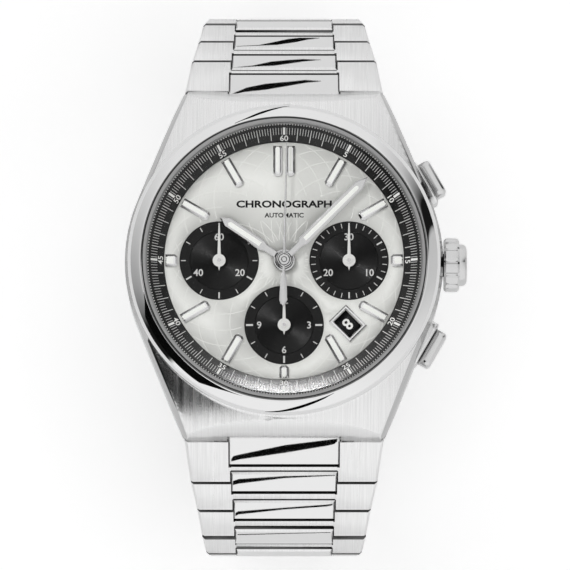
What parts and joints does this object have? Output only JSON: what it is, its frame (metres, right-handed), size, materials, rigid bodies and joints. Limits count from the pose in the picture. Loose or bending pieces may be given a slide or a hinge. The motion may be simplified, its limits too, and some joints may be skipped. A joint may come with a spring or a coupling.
{
  "type": "chronograph wristwatch",
  "caption": "Automatic chronograph wristwatch with an integrated steel link bracelet and folding clasp, closed and standing on the clasp.",
  "frame": {"origin": "on the clasp's flat outer face, under the centre of the dial", "axes": "+X to 3 o'clock (crown side), +Y to 12 o'clock, +Z out through the crystal"},
  "size_m": [0.0441, 0.0718, 0.0502],
  "materials": {
    "case_steel": "vertically brushed with polished bevels",
    "polished_steel": "mirror polished",
    "bracelet_steel": "brushed pads with polished centre pieces",
    "clasp_steel": "brushed",
    "applied_steel": "polished facets",
    "hand_steel": "polished",
    "screw_steel": "polished",
    "sapphire": "clear, anti-reflection coated",
    "gasket": "translucent white",
    "rubber": "matt",
    "flange_black": "satin black",
    "dial_silver": "fine matt silver",
    "date_black": "satin black with white numbers",
    "movement_nickel": "nickel plated",
    "gilt_brass": "gilt"
  },
  "bodies": {
    "case": {"case_middle": "case_steel", "bezel": "polished_steel", "crystal": "sapphire", "crystal_gasket": "gasket", "flange_ring": "flange_black", "dial": "dial_silver", "dial_appliques": "applied_steel", "case_tubes": "polished_steel", "movement_ring": "movement_nickel", "main_plate": "movement_nickel", "train_bridge": "movement_nickel", "bridge_screws": "screw_steel", "balance_cock": "movement_nickel", "caseback": "case_steel", "caseback_window": "sapphire", "caseback_screws": "case_steel"},
    "hour": {"hour_hand": "hand_steel"},
    "minute": {"minute_hand": "hand_steel", "centre_wheel": "gilt_brass"},
    "chrono_seconds": {"chrono_seconds_hand": "hand_steel"},
    "small_seconds": {"small_seconds_hand": "hand_steel", "fourth_wheel": "gilt_brass"},
    "minute_counter": {"minute_counter_hand": "hand_steel"},
    "hour_counter": {"hour_counter_hand": "hand_steel"},
    "date": {"date_disc": "date_black"},
    "crown_slider": {"crown_gasket": "rubber"},
    "crown": {"crown": "polished_steel", "winding_stem": "polished_steel"},
    "start_pusher": {"start_pusher": "polished_steel"},
    "reset_pusher": {"reset_pusher": "polished_steel"},
    "barrel": {"barrel": "gilt_brass"},
    "third_wheel": {"third_wheel": "gilt_brass"},
    "escape_wheel": {"escape_wheel": "gilt_brass"},
    "balance": {"balance_wheel": "gilt_brass"},
    "rotor": {"rotor": "movement_nickel"},
    "twelve_link_1": {"twelve_link_1": "bracelet_steel"},
    "twelve_link_2": {"twelve_link_2": "bracelet_steel"},
    "twelve_link_3": {"twelve_link_3": "bracelet_steel"},
    "twelve_link_4": {"twelve_link_4": "bracelet_steel"},
    "twelve_link_5": {"twelve_link_5": "bracelet_steel"},
    "twelve_link_6": {"twelve_link_6": "bracelet_steel"},
    "twelve_link_7": {"twelve_link_7": "bracelet_steel"},
    "twelve_link_8": {"twelve_link_8": "bracelet_steel"},
    "twelve_link_9": {"twelve_link_9": "bracelet_steel"},
    "twelve_link_10": {"twelve_link_10": "bracelet_steel"},
    "six_link_1": {"six_link_1": "bracelet_steel"},
    "six_link_2": {"six_link_2": "bracelet_steel"},
    "six_link_3": {"six_link_3": "bracelet_steel"},
    "six_link_4": {"six_link_4": "bracelet_steel"},
    "six_link_5": {"six_link_5": "bracelet_steel"},
    "six_link_6": {"six_link_6": "bracelet_steel"},
    "six_link_7": {"six_link_7": "bracelet_steel"},
    "six_link_8": {"six_link_8": "bracelet_steel"},
    "six_link_9": {"six_link_9": "bracelet_steel"},
    "six_link_10": {"six_link_10": "bracelet_steel"},
    "clasp_cover": {"clasp_cover": "clasp_steel"},
    "clasp_inner_leaf": {"clasp_inner_leaf": "clasp_steel"},
    "clasp_outer_leaf": {"clasp_outer_leaf": "clasp_steel"},
    "clasp_button_right": {"clasp_button_right": "polished_steel"},
    "clasp_button_left": {"clasp_button_left": "polished_steel"}
  },
  "joints": [
    {"name": "small_seconds_turn", "type": "hinge", "parent": "case", "child": "small_seconds", "pos_m": [-0.00835, 0, 0.04635], "axis": [0, 0, -1], "continuous": true},
    {"name": "minute_turn", "type": "hinge", "parent": "case", "child": "minute", "pos_m": [0, 0, 0.04635], "axis": [0, 0, -1], "continuous": true},
    {"name": "hour_turn", "type": "hinge", "parent": "case", "child": "hour", "pos_m": [0, 0, 0.04635], "axis": [0, 0, -1], "continuous": true},
    {"name": "third_wheel_turn", "type": "hinge", "parent": "case", "child": "third_wheel", "pos_m": [-0.00427, -0.0028, 0.04335], "axis": [0, 0, -1], "continuous": true},
    {"name": "escape_wheel_turn", "type": "hinge", "parent": "case", "child": "escape_wheel", "pos_m": [-0.00968, 0.00366, 0.04285], "axis": [0, 0, -1], "continuous": true},
    {"name": "barrel_turn", "type": "hinge", "parent": "case", "child": "barrel", "pos_m": [0.0036, 0.00461, 0.04235], "axis": [0, 0, -1], "continuous": true},
    {"name": "chrono_seconds_turn", "type": "hinge", "parent": "case", "child": "chrono_seconds", "pos_m": [0, 0, 0.04635], "axis": [0, 0, -1], "continuous": true},
    {"name": "minute_counter_turn", "type": "hinge", "parent": "case", "child": "minute_counter", "pos_m": [0.00835, 0, 0.04635], "axis": [0, 0, -1], "continuous": true},
    {"name": "hour_counter_turn", "type": "hinge", "parent": "case", "child": "hour_counter", "pos_m": [0, -0.00835, 0.04635], "axis": [0, 0, -1], "continuous": true},
    {"name": "date_turn", "type": "hinge", "parent": "case", "child": "date", "pos_m": [0, 0, 0.04635], "axis": [0, 0, -1], "continuous": true},
    {"name": "rotor_turn", "type": "hinge", "parent": "case", "child": "rotor", "pos_m": [0, 0, 0.03935], "axis": [0, 0, 1], "continuous": true},
    {"name": "balance_swing", "type": "hinge", "parent": "case", "child": "balance", "pos_m": [-0.0052, 0.009, 0.04185], "axis": [0, 0, 1], "range_deg": [-270, 270]},
    {"name": "crown_pull", "type": "slide", "parent": "case", "child": "crown_slider", "axis": [1, 0, 0], "range_m": [0, 0.0012]},
    {"name": "crown_turn", "type": "hinge", "parent": "crown_slider", "child": "crown", "pos_m": [0.0216, 0, 0.04215], "axis": [1, 0, 0], "continuous": true},
    {"name": "start_pusher_press", "type": "slide", "parent": "case", "child": "start_pusher", "axis": [-0.866, -0.5, 0], "range_m": [0, 0.0008], "stiffness_N_per_m": 1500, "springref_m": -0.0005},
    {"name": "reset_pusher_press", "type": "slide", "parent": "case", "child": "reset_pusher", "axis": [-0.866, 0.5, 0], "range_m": [0, 0.0008], "stiffness_N_per_m": 1500, "springref_m": -0.0005},
    {"name": "twelve_link_1_hinge", "type": "hinge", "parent": "case", "child": "twelve_link_1", "pos_m": [0, 0.02226, 0.04111], "axis": [1, 0, 0], "range_deg": [0, 10]},
    {"name": "twelve_link_2_hinge", "type": "hinge", "parent": "twelve_link_1", "child": "twelve_link_2", "pos_m": [0, 0.02668, 0.03591], "axis": [1, 0, 0], "range_deg": [0, 3]},
    {"name": "twelve_link_3_hinge", "type": "hinge", "parent": "twelve_link_2", "child": "twelve_link_3", "pos_m": [0, 0.02989, 0.03235], "axis": [1, 0, 0], "range_deg": [0, 4]},
    {"name": "twelve_link_4_hinge", "type": "hinge", "parent": "twelve_link_3", "child": "twelve_link_4", "pos_m": [0, 0.03285, 0.02856], "axis": [1, 0, 0], "range_deg": [0, 20]},
    {"name": "twelve_link_5_hinge", "type": "hinge", "parent": "twelve_link_4", "child": "twelve_link_5", "pos_m": [0, 0.03433, 0.024], "axis": [1, 0, 0], "range_deg": [0, 21]},
    {"name": "twelve_link_6_hinge", "type": "hinge", "parent": "twelve_link_5", "child": "twelve_link_6", "pos_m": [0, 0.03408, 0.01921], "axis": [1, 0, 0], "range_deg": [0, 10]},
    {"name": "twelve_link_7_hinge", "type": "hinge", "parent": "twelve_link_6", "child": "twelve_link_7", "pos_m": [0, 0.033, 0.01453], "axis": [1, 0, 0], "range_deg": [0, 17]},
    {"name": "twelve_link_8_hinge", "type": "hinge", "parent": "twelve_link_7", "child": "twelve_link_8", "pos_m": [0, 0.0306, 0.01037], "axis": [1, 0, 0], "range_deg": [0, 11]},
    {"name": "twelve_link_9_hinge", "type": "hinge", "parent": "twelve_link_8", "child": "twelve_link_9", "pos_m": [0, 0.02745, 0.00675], "axis": [1, 0, 0], "range_deg": [0, 10]},
    {"name": "twelve_link_10_hinge", "type": "hinge", "parent": "twelve_link_9", "child": "twelve_link_10", "pos_m": [0, 0.02372, 0.00373], "axis": [1, 0, 0], "range_deg": [0, 14]},
    {"name": "six_link_1_hinge", "type": "hinge", "parent": "case", "child": "six_link_1", "pos_m": [0, -0.02226, 0.04111], "axis": [-1, 0, 0], "range_deg": [0, 10]},
    {"name": "six_link_2_hinge", "type": "hinge", "parent": "six_link_1", "child": "six_link_2", "pos_m": [0, -0.02668, 0.03591], "axis": [-1, 0, 0], "range_deg": [0, 3]},
    {"name": "six_link_3_hinge", "type": "hinge", "parent": "six_link_2", "child": "six_link_3", "pos_m": [0, -0.02989, 0.03235], "axis": [-1, 0, 0], "range_deg": [0, 4]},
    {"name": "six_link_4_hinge", "type": "hinge", "parent": "six_link_3", "child": "six_link_4", "pos_m": [0, -0.03285, 0.02856], "axis": [-1, 0, 0], "range_deg": [0, 20]},
    {"name": "six_link_5_hinge", "type": "hinge", "parent": "six_link_4", "child": "six_link_5", "pos_m": [0, -0.03433, 0.024], "axis": [-1, 0, 0], "range_deg": [0, 21]},
    {"name": "six_link_6_hinge", "type": "hinge", "parent": "six_link_5", "child": "six_link_6", "pos_m": [0, -0.03408, 0.01921], "axis": [-1, 0, 0], "range_deg": [0, 10]},
    {"name": "six_link_7_hinge", "type": "hinge", "parent": "six_link_6", "child": "six_link_7", "pos_m": [0, -0.033, 0.01453], "axis": [-1, 0, 0], "range_deg": [0, 17]},
    {"name": "six_link_8_hinge", "type": "hinge", "parent": "six_link_7", "child": "six_link_8", "pos_m": [0, -0.0306, 0.01037], "axis": [-1, 0, 0], "range_deg": [0, 11]},
    {"name": "six_link_9_hinge", "type": "hinge", "parent": "six_link_8", "child": "six_link_9", "pos_m": [0, -0.02745, 0.00675], "axis": [-1, 0, 0], "range_deg": [0, 10]},
    {"name": "six_link_10_hinge", "type": "hinge", "parent": "six_link_9", "child": "six_link_10", "pos_m": [0, -0.02372, 0.00373], "axis": [-1, 0, 0], "range_deg": [0, 14]},
    {"name": "clasp_cover_hinge", "type": "hinge", "parent": "twelve_link_10", "child": "clasp_cover", "pos_m": [0, 0.01937, 0.0017], "axis": [1, 0, 0], "range_deg": [0, 25]},
    {"name": "clasp_inner_leaf_hinge", "type": "hinge", "parent": "clasp_cover", "child": "clasp_inner_leaf", "pos_m": [0, -0.0155, 0.00175], "axis": [1, 0, 0], "range_deg": [0, 80]},
    {"name": "clasp_outer_leaf_hinge", "type": "hinge", "parent": "clasp_inner_leaf", "child": "clasp_outer_leaf", "pos_m": [0, 0.015, 0.00225], "axis": [-1, 0, 0], "range_deg": [0, 65]},
    {"name": "clasp_button_right_press", "type": "slide", "parent": "clasp_cover", "child": "clasp_button_right", "axis": [-1, 0, 0], "range_m": [0, 0.0005], "stiffness_N_per_m": 800, "springref_m": -0.0005},
    {"name": "clasp_button_left_press", "type": "slide", "parent": "clasp_cover", "child": "clasp_button_left", "axis": [1, 0, 0], "range_m": [0, 0.0005], "stiffness_N_per_m": 800, "springref_m": -0.0005}
  ],
  "couplings": [
    {"joint": "minute_turn", "follows": "small_seconds_turn", "ratio": 0.016667},
    {"joint": "hour_turn", "follows": "small_seconds_turn", "ratio": 0.0013889},
    {"joint": "third_wheel_turn", "follows": "small_seconds_turn", "ratio": -0.125},
    {"joint": "escape_wheel_turn", "follows": "small_seconds_turn", "ratio": -12},
    {"joint": "barrel_turn", "follows": "small_seconds_turn", "ratio": -0.0020833},
    {"joint": "minute_counter_turn", "follows": "chrono_seconds_turn", "ratio": 0.033333},
    {"joint": "hour_counter_turn", "follows": "chrono_seconds_turn", "ratio": 0.0013889}
  ]
}
